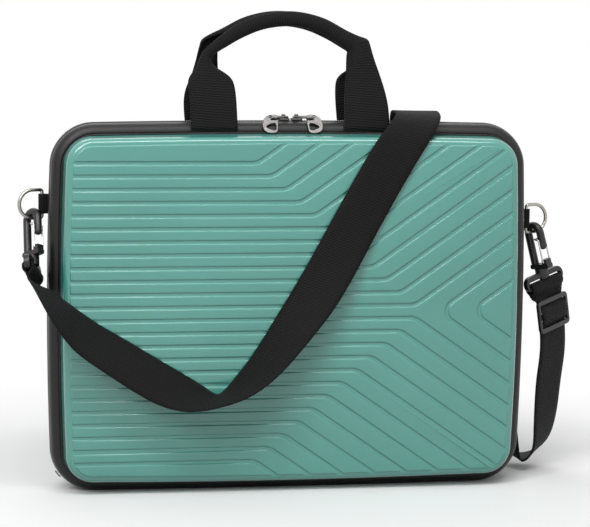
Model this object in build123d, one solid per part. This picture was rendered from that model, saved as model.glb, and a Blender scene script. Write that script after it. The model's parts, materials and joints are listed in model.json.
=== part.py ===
from build123d import *
import os
from math import atan2, cos, degrees, radians, sin, tan

# Hard laptop case, millimetres. +X right, +Y away from the front face, +Z up.
# Origin: middle of the flat strip that the case stands on, on the line between its two halves.

# --- shells ---
shell_width = 380.0        # outline of one hard shell, at its widest
shell_height = 287.5
corner_radius = 24.0
side_bow = 3.6             # how far the left and right edges bulge past their ends
top_bow = 2.4
shell_depth = 17.1         # rim to face
shell_wall = 1.8
face_edge_radius = 5.2
shell_draft = 2.3          # how much each shell narrows from rim to face
rim_gap = 15.2             # zip line to the rim of either shell
stand_height = 7.5         # shell outline above what the case stands on

# --- raised ribs on each shell ---
rib_height = 1.2
rib_pitch = 10.66          # straight ribs, from one groove to the next
rib_bend_step = 12.05      # how far each groove's bend lies from the last one
rib_bend_start = 100.7     # bend of the groove beside the middle rib
rib_angle = 35.0
rib_groove = 4.0
rib_margin = 7.7           # shell outline to the ends of the ribs
rib_corner = 15.0
rib_bend_radius = 16.0
rib_tip_radius = 9.5
rib_drop = 1.8             # the pattern's middle lies this much under the shell's middle
straight_grooves = 12
arrow_grooves = 2

# --- fabric side wall with its zip ---
crown = 9.0                # how far the side wall bulges past the shell outline
gusset_wall = 1.6
zip_half = 3.2             # zip line to the edge of either side wall
zip_end_height = 9.0
teeth_width = 2.7
teeth_height = 2.2
stop_length = 5.0
stop_thickness = 0.9
tape_thickness = 0.8
part_gap = 0.3             # between pieces of the two halves at the zip
seat_gap = 0.05            # between pieces that are sewn or glued together
binding_width = 2.0
binding_thickness = 1.1
hinge_thickness = 1.4

# --- lining and inner fittings ---
liner_thickness = 3.0
liner_start = 4.0
liner_rounding = 2.0
pocket_height = 170.0
pocket_width = 320.0
pocket_thickness = 1.2
elastic_height = 14.0
elastic_thickness = 1.0
hold_strap_width = 38.0
hold_strap_thickness = 2.0
grip_tape_length = 60.0
grip_tape_thickness = 1.6

# --- carrying handles ---
handle_middle = -1.8       # handles and sliders are centred here, along X
handle_web = 40.0
handle_spacing = 64.0      # handle middle to the middle of a leg
handle_reach = 97.0        # length of the loop above the shell, along its slope
handle_thickness = 2.0
grip_length = 84.0
grip_fold = 2.2
handle_base = 1.1          # rim to the middle of the webbing, along Y
grip_half_gap = 4.2        # zip line to the middle of either grip

# --- zip sliders ---
slider_middle = -0.6
slider_length = 9.5
slider_width = 8.4
slider_plate = 1.6
slider_gap = 1.2           # between the two sliders
slider_clear = 0.3
bridge_thickness = 1.0
bridge_length = 2.4
bail_wire = 0.8
bail_reach = 12.5          # slider's middle to the outer run of the wire
bail_drop = 14.0           # zip line to the wire's front run
pull_width = 14.0
pull_length = 17.0
pull_plate = 1.4
pull_eye = 1.5
pull_eye_drop = 2.6        # pull's top edge to its eye
pull_hang = 11.2           # zip line to the pull at its eye
pull_slope = 32.0          # the pull leans on the side wall

# --- rings, hooks and strap fittings ---
ring_wire = 1.5
ring_arm = 8.5             # straight part of each arm
ring_bow = 11.5            # radius of the round part, at the wire's middle
ring_stand_off = 5.4       # side wall to the middle of the ring's bar
ring_back = 6.0            # zip line to the ring's bar
ring_level = {-1: 236.0, 1: 221.8}
ring_turn = {-1: -21.0, 1: 20.0}     # how far each ring hangs turned to the back
tab_height = 16.0
tab_thickness = 1.2
pivot_clear = 0.1
hook_tube = 3.3
hook_bowl = 6.5            # radius of the hook's bend, at the tube's middle
hook_spine = -5.3
hook_bowl_level = 40.5
nose_level = 29.5
nose_radius = 3.6
hook_foot_height = 4.0
gate_post_height = 8.0
gate_post_width = 5.0
gate_post_thickness = 6.6
gate_pivot_rise = 5.6      # hook's foot to the gate's pivot
shank_radius = 2.2
shank_head = 3.4
shank_head_height = 1.4
gate_wire = 0.7
loop_width = 46.0
loop_height = 13.0
loop_thickness = 5.0
loop_slot = 4.6
loop_slot_drop = 0.4
socket_radius = 5.6
socket_height = 3.0
hook_lean = {-1: (0.0, 0.42, 0.907), 1: (-0.247, 0.0, 0.969)}
hook_facing = -55.0        # both hooks' noses point to the right and out to the front
loop_facing = {-1: 76.0, 1: 31.5}

# --- shoulder strap ---
strap_width = 38.0
strap_thickness = 1.6
strap_tail = 3.0           # doubled webbing under each loop
slide_width = 46.0
slide_height = 28.0
slide_thickness = 3.0
slide_bar = 6.0
slide_slot = 7.0
slide_corner = 4.0
slide_offset = (9.5, 0.8, -29.0)    # right loop's middle to the strap slider's middle
slide_lean = (-0.15, -0.03, 0.99)
slide_facing = 42.0

# Middle of the shoulder strap and the direction across it, from the left loop to the right
# one: over the front, over the top beside the handle, and down behind.
strap_front = [
    ((-207.0, -28.0, 173.5), (0.42, 0.86, -0.28)),
    ((-203.0, -36.5, 169.5), (0.45, 0.87, -0.20)),
    ((-199.0, -44.0, 164.5), (0.47, 0.88, -0.10)),
    ((-193.5, -51.0, 158.0), (0.49, 0.87, 0.05)),
    ((-187.5, -51.5, 151.0), (0.51, 0.84, 0.17)),
    ((-179.5, -50.2, 142.0), (0.53, 0.78, 0.32)),
    ((-168.0, -49.2, 131.5), (0.53, 0.70, 0.47)),
    ((-151.6, -48.5, 120.9), (0.47, 0.67, 0.57)),
    ((-124.5, -47.5, 103.1), (0.49, 0.61, 0.62)),
    ((-104.0, -47.5, 91.0), (0.53, 0.62, 0.58)),
    ((-87.5, -50.2, 84.0), (0.48, 0.76, 0.43)),
    ((-74.0, -53.9, 81.0), (0.30, 0.93, 0.20)),
    ((-63.0, -55.0, 81.7), (0.03, 1.00, 0.03)),
    ((-52.0, -54.7, 86.5), (-0.23, 0.97, 0.04)),
    ((-40.0, -53.2, 95.5), (-0.43, 0.89, 0.10)),
    ((-25.0, -51.0, 110.0), (-0.60, 0.79, 0.12)),
    ((-6.0, -47.5, 134.5), (-0.72, 0.66, 0.20)),
    ((20.0, -41.0, 170.0), (-0.87, 0.30, 0.38)),
    ((47.0, -36.0, 219.0), (-0.90, 0.00, 0.44)),
    ((71.0, -36.0, 263.0), (-0.90, 0.00, 0.44)),
    ((84.0, -36.0, 285.0), (-0.93, 0.00, 0.36)),
    ((95.0, -33.0, 300.0), (-0.97, 0.05, 0.20)),
    ((103.0, -22.0, 309.0), (-0.99, 0.00, 0.10)),
    ((104.5, -8.0, 312.0), (-1.00, 0.00, 0.05)),
]
strap_behind = [
    ((105.0, 8.0, 312.0), (-1.00, 0.00, 0.00)),
    ((107.0, 22.0, 308.5), (-1.00, 0.00, -0.04)),
    ((109.0, 33.0, 299.0), (-0.99, 0.00, -0.12)),
    ((112.0, 37.0, 286.0), (-0.98, 0.00, -0.20)),
    ((130.0, 37.5, 232.0), (-0.95, 0.00, -0.31)),
    ((152.0, 38.0, 166.0), (-0.95, 0.00, -0.31)),
    ((172.0, 39.0, 104.0), (-0.94, 0.05, -0.32)),
    ((186.0, 42.0, 60.0), (-0.88, 0.35, -0.30)),
    ((196.0, 44.0, 26.0), (-0.55, 0.80, -0.20)),
    ((206.0, 43.0, 9.0), (-0.10, 0.99, 0.05)),
    ((219.0, 37.0, 9.5), (0.25, 0.95, -0.10)),
    ((229.0, 31.0, 22.0), (0.55, 0.83, 0.00)),
    ((230.5, 25.0, 46.0), (0.70, 0.71, 0.03)),
    ((230.5, 19.0, 80.0), (0.745, 0.667, 0.00)),
    ((232.5, 15.0, 105.0), (0.745, 0.667, 0.00)),
]


case_middle = stand_height + shell_height / 2
shell_face = rim_gap + shell_depth
shell_top = stand_height + shell_height
binding_top = shell_top + binding_thickness
base_cut = Box(1000, 1000, 400, align=(Align.CENTER, Align.CENTER, Align.MAX))
hook_middle = hook_spine + hook_bowl
hook_nose = hook_spine + 2 * hook_bowl
hook_foot = loop_height / 2 + socket_height + pivot_clear
gate_pivot_level = hook_foot + gate_pivot_rise
gate_half = gate_post_thickness / 2 + 0.4 + gate_wire


def bowed(half_w, half_h, rounding):
    """Flat rounded rectangle whose four edges bulge a little."""
    end_x = half_w - side_bow
    end_z = half_h - top_bow
    with BuildSketch() as sketch:
        with BuildLine():
            ThreePointArc((-end_x, end_z), (0, half_h), (end_x, end_z))
            ThreePointArc((end_x, end_z), (half_w, 0), (end_x, -end_z))
            ThreePointArc((end_x, -end_z), (0, -half_h), (-end_x, -end_z))
            ThreePointArc((-end_x, -end_z), (-half_w, 0), (-end_x, end_z))
        make_face()
        fillet(sketch.vertices(), rounding)
    return sketch.sketch


def outline(grow):
    """Closed face, upright at the zip line: the shell's outline made larger by grow."""
    face = bowed(shell_width / 2 + grow, shell_height / 2 + grow, corner_radius + grow)
    return Plane(origin=(0, 0, case_middle), x_dir=(1, 0, 0), z_dir=(0, -1, 0)) * face


def slab(grow, near, far, edge_radius=0.0, draft=0.0):
    """The outline as a solid from y=near to y=far, narrowed and rounded at its far edge."""
    taper = degrees(atan2(draft, far - near))
    solid = Pos(0, near, 0) * extrude(outline(grow), amount=near - far, taper=taper)
    if edge_radius:
        solid = fillet(solid.edges().group_by(Axis.Y)[-1], edge_radius)
    return solid


def turned(piece):
    """The same piece for the front half, turned half a turn about the upright axis."""
    return Rot(0, 0, 180) * piece


def above(piece, height):
    return piece - Pos(0, 0, height) * base_cut


def below(piece, height):
    return piece & (Pos(0, 0, height) * base_cut)


# --- ribs ---
def groove(points, bend_radius):
    """Face of one groove: a band of even width along a centre line with one rounded bend."""
    line = FilletPolyline(*points, radius=bend_radius)
    return make_face(offset(line, rib_groove / 2, side=Side.BOTH).edges())


def rib_pattern():
    """Raised faces of one shell, seen from outside: straight ribs that turn up or down at the right."""
    slope = (cos(radians(rib_angle)), sin(radians(rib_angle)))
    diagonal_pitch = rib_bend_step * slope[1] + rib_pitch * slope[0]
    reach = shell_width
    cuts = []
    for k in range(straight_grooves):
        level = (k + 0.5) * rib_pitch
        bend = rib_bend_start - k * rib_bend_step
        for way in (1, -1):
            end = (bend + reach * slope[0], way * (level + reach * slope[1]))
            points = [(-reach, way * level), (bend, way * level), end]
            cuts.append(groove(points, rib_bend_radius))
    first_tip = rib_bend_start - rib_pitch / 2 / tan(radians(rib_angle))
    for k in range(arrow_grooves):
        tip = first_tip + (k + 1) * diagonal_pitch / slope[1]
        arms = [(tip + reach * slope[0], way * reach * slope[1]) for way in (1, -1)]
        cuts.append(groove([arms[0], (tip, 0), arms[1]], rib_tip_radius))
    ribs = bowed(shell_width / 2 - rib_margin, shell_height / 2 - rib_margin, rib_corner)
    ribs = Pos(0, rib_drop) * ribs
    for cut in cuts:
        ribs = ribs - cut
    return ribs


def shell():
    """One hard shell, on the back half."""
    body = slab(0, rim_gap, shell_face, face_edge_radius, shell_draft)
    body -= slab(-shell_wall, rim_gap, shell_face - shell_wall, face_edge_radius - shell_wall, shell_draft)
    inside = (0, shell_face - shell_wall / 2, case_middle - rib_drop)
    place = Plane(origin=inside, x_dir=(-1, 0, 0), z_dir=(0, 1, 0))
    rise = rib_height + shell_wall / 2
    return body + [place * extrude(rib, amount=rise) for rib in rib_pattern().faces()]


# --- fabric side wall, binding and zip ---
def gusset():
    """Fabric side wall of one half, bulging at the sides and top and flat underneath."""
    rounding = crown - 0.02
    outer = above(slab(crown, zip_half, rim_gap, rounding), 0)
    inside = slab(crown - gusset_wall, zip_half - 1, rim_gap - gusset_wall, rounding - gusset_wall)
    return outer - above(inside, gusset_wall) - slab(-gusset_wall, zip_half - 1, rim_gap + 1)


def ring(grow_in, grow_out, near, far):
    return slab(grow_out, near, far) - slab(grow_in, near - 1, far + 1)


def binding():
    return ring(seat_gap, binding_thickness, rim_gap + seat_gap, rim_gap + binding_width)


def zip_tape():
    top = crown - gusset_wall - seat_gap
    tape = ring(top - tape_thickness, top, part_gap / 2, zip_half + teeth_width)
    return above(tape, zip_end_height)


def zip_teeth():
    foot = crown - gusset_wall
    return above(ring(foot, foot + teeth_height, part_gap / 2, part_gap / 2 + teeth_width), zip_end_height)


def zip_stop(side):
    """The metal stop at the lower end of the zip, and its place on the back half's teeth."""
    foot = crown - gusset_wall
    foot += teeth_height + seat_gap
    piece = ring(foot, foot + stop_thickness, part_gap / 2, part_gap / 2 + teeth_width)
    piece = below(above(piece, zip_end_height + 1), zip_end_height + 1 + stop_length)
    return piece & (Pos(side * shell_width / 2, 0, 0) * Box(shell_width - 40, 40, 100))


def hinge_fabric():
    """The strip of side wall under the case that joins its halves and folds as it opens."""
    strip = ring(crown - gusset_wall, crown, -zip_half + part_gap, zip_half)
    strip = above(below(strip, zip_end_height - part_gap), 0)
    floor_strip = above(slab(crown, -zip_half + part_gap, zip_half), 0)
    floor_strip -= above(slab(crown, -zip_half - 1, zip_half + 1), hinge_thickness)
    floor_strip = below(floor_strip, zip_end_height - part_gap)
    return strip + floor_strip


# --- lining and what it carries ---
def liner():
    grow = -shell_wall - part_gap
    far = shell_face - shell_wall - part_gap
    rounding = face_edge_radius - shell_wall
    tray = slab(grow, liner_start, far, rounding, shell_draft)
    grow -= liner_thickness
    return tray - slab(grow, liner_start - 1, far - liner_thickness, liner_rounding, shell_draft)


def liner_floor():
    return shell_face - shell_wall - part_gap - liner_thickness


def pocket():
    """Mesh pocket on the lid's lining, sewn down at its sides and bottom."""
    far = liner_floor() - seat_gap
    bottom = stand_height + shell_wall + liner_thickness + 12
    panel = Pos(0, far, bottom) * Box(
        pocket_width, pocket_thickness, pocket_height, align=(Align.CENTER, Align.MAX, Align.MIN)
    )
    return fillet(panel.edges().filter_by(Axis.Y).group_by(Axis.Z)[0], 12)


def pocket_elastic():
    top = stand_height + shell_wall + liner_thickness + 12 + pocket_height
    near = liner_floor() - seat_gap - pocket_thickness - seat_gap
    return Pos(0, near, top) * Box(
        pocket_width, elastic_thickness, elastic_height, align=(Align.CENTER, Align.MAX, Align.MAX)
    )


def hold_strap(side):
    """One half of the band that holds the laptop, sewn to the back lining."""
    near = liner_floor() - seat_gap
    length = (pocket_width - grip_tape_length) / 2
    if side < 0:
        length += grip_tape_length
    band = Box(length, hold_strap_thickness, hold_strap_width, align=(Align.MIN, Align.MAX, Align.CENTER))
    start = -pocket_width / 2 if side < 0 else pocket_width / 2 - length
    return Pos(start, near, case_middle) * band


def grip_tape():
    """Hook-and-loop patch that closes the band."""
    near = liner_floor() - seat_gap - hold_strap_thickness - seat_gap
    end = -pocket_width / 2 + (pocket_width - grip_tape_length) / 2
    inset = 2.0
    patch = Box(
        grip_tape_length - 2 * inset,
        grip_tape_thickness,
        hold_strap_width - 2 * inset,
        align=(Align.MIN, Align.MAX, Align.CENTER),
    )
    return Pos(end + inset, near, case_middle) * patch


# --- handles ---
def handle():
    """Back handle: an arch of webbing, its grip folded double, leaning in towards the zip line."""
    out = handle_spacing + handle_web / 2
    inn = handle_spacing - handle_web / 2
    top = handle_reach
    outer = [(out, 0), (out - 3, 0.30 * top), (out - 14, 0.66 * top), (out - 40, 0.90 * top), (12, top)]
    inner = [(6, top - 12.5), (inn - 10, 0.78 * top), (inn + 10, 0.58 * top), (inn + 3, 0.40 * top), (inn, 0)]
    path = outer + [(-x, z) for x, z in outer[::-1]] + [(-x, z) for x, z in inner[::-1]] + inner
    rounding = [0, 20, 14, 40, 60, 60, 40, 14, 20, 0, 0, 8, 8, 20, 24, 24, 20, 8, 8, 0]
    arch = make_face(FilletPolyline(*path, radius=rounding, close=True).edges())
    body = extrude(arch, amount=handle_thickness / 2, both=True)
    fold = arch & Pos(0, top) * Rectangle(grip_length, top / 2)
    body += Pos(0, 0, -handle_thickness / 2) * extrude(fold, amount=-grip_fold)
    for middle in (-handle_spacing, handle_spacing):
        body += Pos(middle, 0, 0) * Rot(0, 90, 0) * Cylinder(handle_thickness / 2, handle_web)
    base_y = rim_gap + handle_base
    lean = (base_y - grip_half_gap) / handle_reach
    foot = binding_top + part_gap + handle_thickness / 2
    return Plane(origin=(handle_middle, base_y, foot), x_dir=(1, 0, 0), z_dir=(0, -1, -lean)) * body


# --- zip sliders and pulls ---
def slider_floor():
    return shell_top + crown - gusset_wall + teeth_height + slider_clear


def slider_place(side):
    return slider_middle + side * (slider_gap / 2 + slider_length / 2)


def slider(side):
    """Slider on the zip's teeth, with the bridge that its pull hangs from."""
    plate = Box(slider_length, slider_width, slider_plate, align=(Align.CENTER, Align.CENTER, Align.MIN))
    plate = fillet(plate.edges().filter_by(Axis.Z), 2.0)
    rise = 2 * bail_wire + 2 * slider_clear
    span = slider_width - 2.0
    stand = (Align.CENTER, Align.CENTER, Align.MIN)
    bridge = Box(bridge_length, span, rise + bridge_thickness, align=stand)
    bridge -= Box(slider_length, span - 2 * bridge_thickness, rise, align=stand)
    return Pos(slider_place(side), 0, slider_floor()) * (plate + Pos(0, 0, slider_plate) * bridge)


def bail_level():
    """Height of the line that a pull swings about."""
    return slider_floor() + slider_plate + slider_clear + bail_wire


def pull_bail(side):
    """Wire link that runs through the slider's bridge and out to the pull."""
    near = -bridge_length / 2 - 1.4
    points = [(near, 0), (bail_reach - 4, 0), (bail_reach, -4), (bail_reach, -bail_drop)]
    points += [(bail_reach - 5, -bail_drop), (near, -slider_width / 2 - 2)]
    path = FilletPolyline(*points, radius=1.3, close=True)
    wire = sweep(Plane(origin=path @ 0, z_dir=path % 0) * Circle(bail_wire), path=path)
    if side < 0:
        wire = mirror(wire, about=Plane.YZ)
    return Pos(slider_place(side), 0, bail_level()) * wire


def pull_tab(side):
    """Flat pull with a three-cornered window, leaning on the front of the side wall."""
    w = pull_width / 2
    h = pull_length
    shape = [(-w, -0.25 * h), (-0.3 * w, 0), (w, 0), (w, -h), (-0.1 * w, -h), (-w, -0.62 * h)]
    plate = make_face(FilletPolyline(*shape, radius=[3, 2, 1.5, 1.5, 3, 3], close=True).edges())
    hole = [(0.66 * w, -0.48 * h), (0.66 * w, -0.88 * h), (-0.45 * w, -0.84 * h)]
    window = make_face(FilletPolyline(*hole, radius=0.8, close=True).edges())
    eye = Pos(0, -pull_eye_drop) * Circle(pull_eye)
    flat = Pos(0, pull_eye_drop, 0) * extrude(plate - window - eye, amount=pull_plate / 2, both=True)
    if side < 0:
        flat = mirror(flat, about=Plane.YZ)
    middle = slider_place(side) + side * bail_reach
    slope = radians(pull_slope)
    facing = (0, -cos(slope), sin(slope))
    return Plane(origin=(middle, -pull_hang, bail_level()), x_dir=(1, 0, 0), z_dir=facing) * flat


# --- fittings at the sides ---
def side_surface(level):
    """How far out the side wall stands at a height."""
    share = (level - case_middle) / (shell_height / 2)
    return shell_width / 2 + crown - side_bow * share * share


def fitting_frame(origin, upward, facing):
    """Plane whose y runs up the fitting's long axis and whose x faces a compass angle from +X."""
    up = Vector(*upward).normalized()
    along = Vector(cos(radians(facing)), sin(radians(facing)), 0)
    along = (along - up * up.dot(along)).normalized()
    return Plane(origin=origin, x_dir=along, z_dir=along.cross(up))


def ring_frame(side):
    """Plane of a ring: origin at its bar's middle, x out along its arms, y up."""
    turn = radians(ring_turn[side])
    out = Vector(side * cos(turn), sin(turn), 0)
    bar = (side * (side_surface(ring_level[side]) + ring_stand_off), ring_back, ring_level[side])
    return Plane(origin=bar, x_dir=out, z_dir=out.cross(Vector(0, 0, 1)))


def hook_frame(side):
    """Plane of a hook that hangs on its ring's lower arm; origin at the middle of the loop below."""
    hang = ring_frame(side).from_local_coords(Vector(ring_arm, -ring_bow, 0))
    frame = fitting_frame(hang, hook_lean[side], hook_facing)
    wire_level = hook_bowl_level + hook_bowl - hook_tube - ring_wire - part_gap
    origin = hang - frame.x_dir * hook_middle - frame.y_dir * wire_level
    return Plane(origin=origin, x_dir=frame.x_dir, z_dir=frame.z_dir)


def loop_frame(side):
    return fitting_frame(hook_frame(side).origin, hook_lean[side], loop_facing[side])


def slide_frame():
    return fitting_frame(loop_frame(1).origin + Vector(*slide_offset), slide_lean, slide_facing)


def ring_tab(side):
    """Webbing tab sewn to the back half's side wall and looped round the ring's bar."""
    x, y, z = ring_frame(side).origin
    hole = ring_wire + pivot_clear
    wrap = Circle(hole + tab_thickness)
    wrap += Pos(-side * ring_stand_off, 0) * Rectangle(2 * ring_stand_off, 2 * tab_thickness + part_gap)
    tab = extrude(wrap - Circle(hole), amount=tab_height / 2, both=True)
    wall = slab(crown + seat_gap, zip_half, rim_gap, crown - 0.02)
    near_wall = Pos(0, 0, z) * Box(1000, 100, 2 * tab_height)
    return Pos(x, y, z) * tab - (wall & near_wall)


def d_ring(side):
    """Wire ring: a straight bar in the tab and a round bow that the hook hangs in."""
    with BuildLine() as line:
        Line((0, 0), (0, ring_bow))
        Line((0, ring_bow), (ring_arm, ring_bow))
        ThreePointArc((ring_arm, ring_bow), (ring_arm + ring_bow, 0), (ring_arm, -ring_bow))
        Line((ring_arm, -ring_bow), (0, -ring_bow))
        Line((0, -ring_bow), (0, 0))
        fillet(line.vertices().filter_by(lambda v: v.X < 0.1 and abs(v.Y) > 1), 2.2)
    path = line.wire()
    wire = sweep(Plane(origin=path @ 0, z_dir=path % 0) * Circle(ring_wire), path=path)
    return ring_frame(side) * wire


def hook(side):
    """Snap hook: shank, foot, spine, bend and nose in one moulding, and the post for its gate."""
    low = hook_foot + hook_foot_height / 2
    with BuildLine() as line:
        spine = Line((hook_spine, low), (hook_spine, hook_bowl_level))
        crest = (hook_middle, hook_bowl_level + hook_bowl)
        ThreePointArc(spine @ 1, crest, (hook_nose, hook_bowl_level))
        Line((hook_nose, hook_bowl_level), (hook_nose, nose_level))
    path = line.wire()
    body = sweep(Plane(origin=path @ 0, z_dir=path % 0) * Circle(hook_tube), path=path)
    body += Pos(hook_nose, nose_level, 0) * Sphere(nose_radius)
    foot = Box(2 * (hook_bowl + hook_tube), hook_foot_height, 2 * hook_tube)
    body += Pos(hook_middle, low, 0) * fillet(foot.edges().filter_by(Axis.Z), 1.6)
    stand = (Align.CENTER, Align.MIN, Align.CENTER)
    post = Box(gate_post_width, gate_post_height, gate_post_thickness, align=stand)
    body += Pos(hook_nose, hook_foot, 0) * fillet(post.edges().group_by(Axis.Y)[-1], 0.8)
    head_top = loop_slot / 2 - loop_slot_drop - pivot_clear
    shank = Cylinder(shank_radius, hook_foot + 0.5 - head_top, align=(Align.CENTER, Align.CENTER, Align.MIN))
    head = Cylinder(shank_head, shank_head_height, align=(Align.CENTER, Align.CENTER, Align.MAX))
    body += Pos(0, head_top, 0) * Rot(-90, 0, 0) * (shank + head)
    body -= Pos(hook_nose, gate_pivot_level, 0) * Cylinder(gate_wire + pivot_clear, 2 * gate_half)
    return hook_frame(side) * body


def gate(side):
    """Sprung wire gate: a bow that closes the hook's mouth, its feet in the hook's post."""
    top = nose_level + nose_radius + 1.6
    lip = hook_nose - hook_tube - gate_wire - 2 * pivot_clear
    inside = gate_post_thickness / 2 - 1.6
    points = [(hook_nose, gate_pivot_level, -inside), (hook_nose, gate_pivot_level, -gate_half)]
    points += [(hook_nose, top, -gate_half), (lip, top + 1.2, -gate_half)]
    points += [(x, y, -z) for x, y, z in points[::-1]]
    path = FilletPolyline(*points, radius=1.0)
    wire = sweep(Plane(origin=path @ 0, z_dir=path % 0) * Circle(gate_wire), path=path)
    return hook_frame(side) * wire


def strap_loop(side):
    """Flat plastic loop that the strap is sewn round, with the hook's socket on its top."""
    slot = Pos(0, -loop_slot_drop) * SlotOverall(strap_width + 2.4, loop_slot)
    body = extrude(SlotOverall(loop_width, loop_height) - slot, amount=loop_thickness / 2, both=True)
    body = fillet(body.faces().group_by(Axis.Z)[0].edges() + body.faces().group_by(Axis.Z)[-1].edges(), 0.8)
    slot_top = loop_slot / 2 - loop_slot_drop
    socket_length = loop_height / 2 + socket_height - slot_top
    socket = Cylinder(socket_radius, socket_length, align=(Align.CENTER, Align.CENTER, Align.MIN))
    body += Pos(0, slot_top, 0) * Rot(-90, 0, 0) * socket
    body -= Pos(0, loop_height / 2, 0) * Rot(90, 0, 0) * Cylinder(shank_radius + pivot_clear, loop_height)
    return loop_frame(side) * body


# --- shoulder strap ---
def strap_turn(side):
    """End of the strap: folded round the loop's lower bar and sewn to itself below it."""
    bar_top = -loop_slot_drop - loop_slot / 2
    bar_height = bar_top + loop_height / 2
    hole = (bar_height + 2 * part_gap, loop_thickness + 2 * part_gap)
    wrap = RectangleRounded(hole[0] + 2 * strap_thickness, hole[1] + 2 * strap_thickness, 2.4)
    wrap -= RectangleRounded(*hole, 1.0)
    middle = bar_top - bar_height / 2
    tail = Rectangle(strap_tail + strap_thickness, 2 * strap_thickness, align=(Align.MAX, Align.CENTER))
    wrap += Pos(-hole[0] / 2, 0) * tail
    fold = Plane.YZ * extrude(wrap, amount=strap_width / 2, both=True)
    return loop_frame(side) * Pos(0, middle, 0) * fold


def strap_start(side, beyond):
    """Place on the strap's end under a loop, and the direction across it."""
    frame = loop_frame(side)
    depth = loop_height / 2 + part_gap + strap_thickness + strap_tail + beyond
    return frame.from_local_coords(Vector(0, -depth, 0)), frame.x_dir


def slide_path():
    """The strap's way through its slider: behind both rims, and in front of the middle bar."""
    frame = slide_frame()
    lift = slide_thickness / 2 + part_gap + strap_thickness / 2
    bar = slide_bar / 2 + 0.2
    rim = slide_bar / 2 + slide_slot - 0.2
    clear = slide_height / 2 + 4.0
    places = [(-clear, -lift), (-rim, -lift), (-bar, lift)]
    places += [(bar, lift), (rim, -lift), (slide_height / 2, -lift)]
    return [(frame.from_local_coords(Vector(0, y, z)), frame.x_dir) for y, z in places]


def shoulder_strap():
    """The webbing between the two folded ends, as one ribbon."""
    stations = [strap_start(-1, seat_gap), strap_start(-1, 3.0)]
    stations += [(Vector(*middle), Vector(*across)) for middle, across in strap_front + strap_behind]
    stations += slide_path() + [strap_start(1, 1.5), strap_start(1, seat_gap)]
    rings = []
    for i, (middle, across) in enumerate(stations):
        travel = stations[min(i + 1, len(stations) - 1)][0] - stations[max(i - 1, 0)][0]
        half = across.normalized() * (strap_width / 2)
        rise = travel.cross(across).normalized() * (strap_thickness / 2)
        rings.append([middle + half + rise, middle - half + rise, middle - half - rise, middle + half - rise])
    corners = []
    for near, far in zip(rings, rings[1:]):
        for i in range(4):
            j = (i + 1) % 4
            across = (near[i], far[j]) if i < 2 else (near[j], far[i])
            corners += [(near[i], near[j], across[1]), (far[j], far[i], across[0])]
    for end in (rings[0], rings[-1]):
        corners += [(end[0], end[1], end[2]), (end[0], end[2], end[3])]
    return Solid(Shell([Face(Wire.make_polygon(three)) for three in corners]))


def strap_slider():
    """Three-bar slide that takes up the strap."""
    body = RectangleRounded(slide_width, slide_height, slide_corner)
    for way in (-1, 1):
        slot = RectangleRounded(strap_width + 2.0, slide_slot, 1.0)
        body -= Pos(0, way * (slide_bar + slide_slot) / 2) * slot
    body = extrude(body, amount=slide_thickness / 2, both=True)
    outside = body.faces().group_by(Axis.Z)
    body = fillet(outside[0].edges() + outside[-1].edges(), 0.6)
    return slide_frame() * body


# --- every piece of the case ---
pieces = {
    "back_shell": shell(),
    "back_gusset": gusset(),
    "back_binding": binding(),
    "back_liner": liner(),
    "zip_tape_back": zip_tape(),
    "zip_teeth_back": zip_teeth(),
    "handle_back": handle(),
    "hinge_fabric": hinge_fabric(),
    "grip_tape": grip_tape(),
    "shoulder_strap": shoulder_strap(),
    "strap_slider": strap_slider(),
}
for name in ("shell", "gusset", "binding", "liner"):
    pieces["front_" + name] = turned(pieces["back_" + name])
for name in ("zip_tape", "zip_teeth"):
    pieces[name + "_front"] = turned(pieces[name + "_back"])
pieces["handle_front"] = mirror(pieces["handle_back"], about=Plane.XZ)
pieces["accessory_pocket"] = turned(pocket())
pieces["pocket_elastic"] = turned(pocket_elastic())
for side, word in ((-1, "left"), (1, "right")):
    pieces["zip_stop_" + word] = zip_stop(side)
    pieces["hold_strap_" + word] = hold_strap(side)
    pieces["slider_" + word] = slider(side)
    pieces["pull_bail_" + word] = pull_bail(side)
    pieces["pull_tab_" + word] = pull_tab(side)
    pieces["ring_tab_" + word] = ring_tab(side)
    pieces["d_ring_" + word] = d_ring(side)
    pieces["hook_" + word] = hook(side)
    pieces["gate_" + word] = gate(side)
    pieces["strap_loop_" + word] = strap_loop(side)
    pieces["strap_turn_" + word] = strap_turn(side)

os.makedirs("parts", exist_ok=True)
for name, piece in pieces.items():
    export_step(piece, "parts/" + name + ".step")
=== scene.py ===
import bpy
import bmesh
import json
from math import cos, pi, radians, sin
from mathutils import Matrix, Vector

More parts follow.
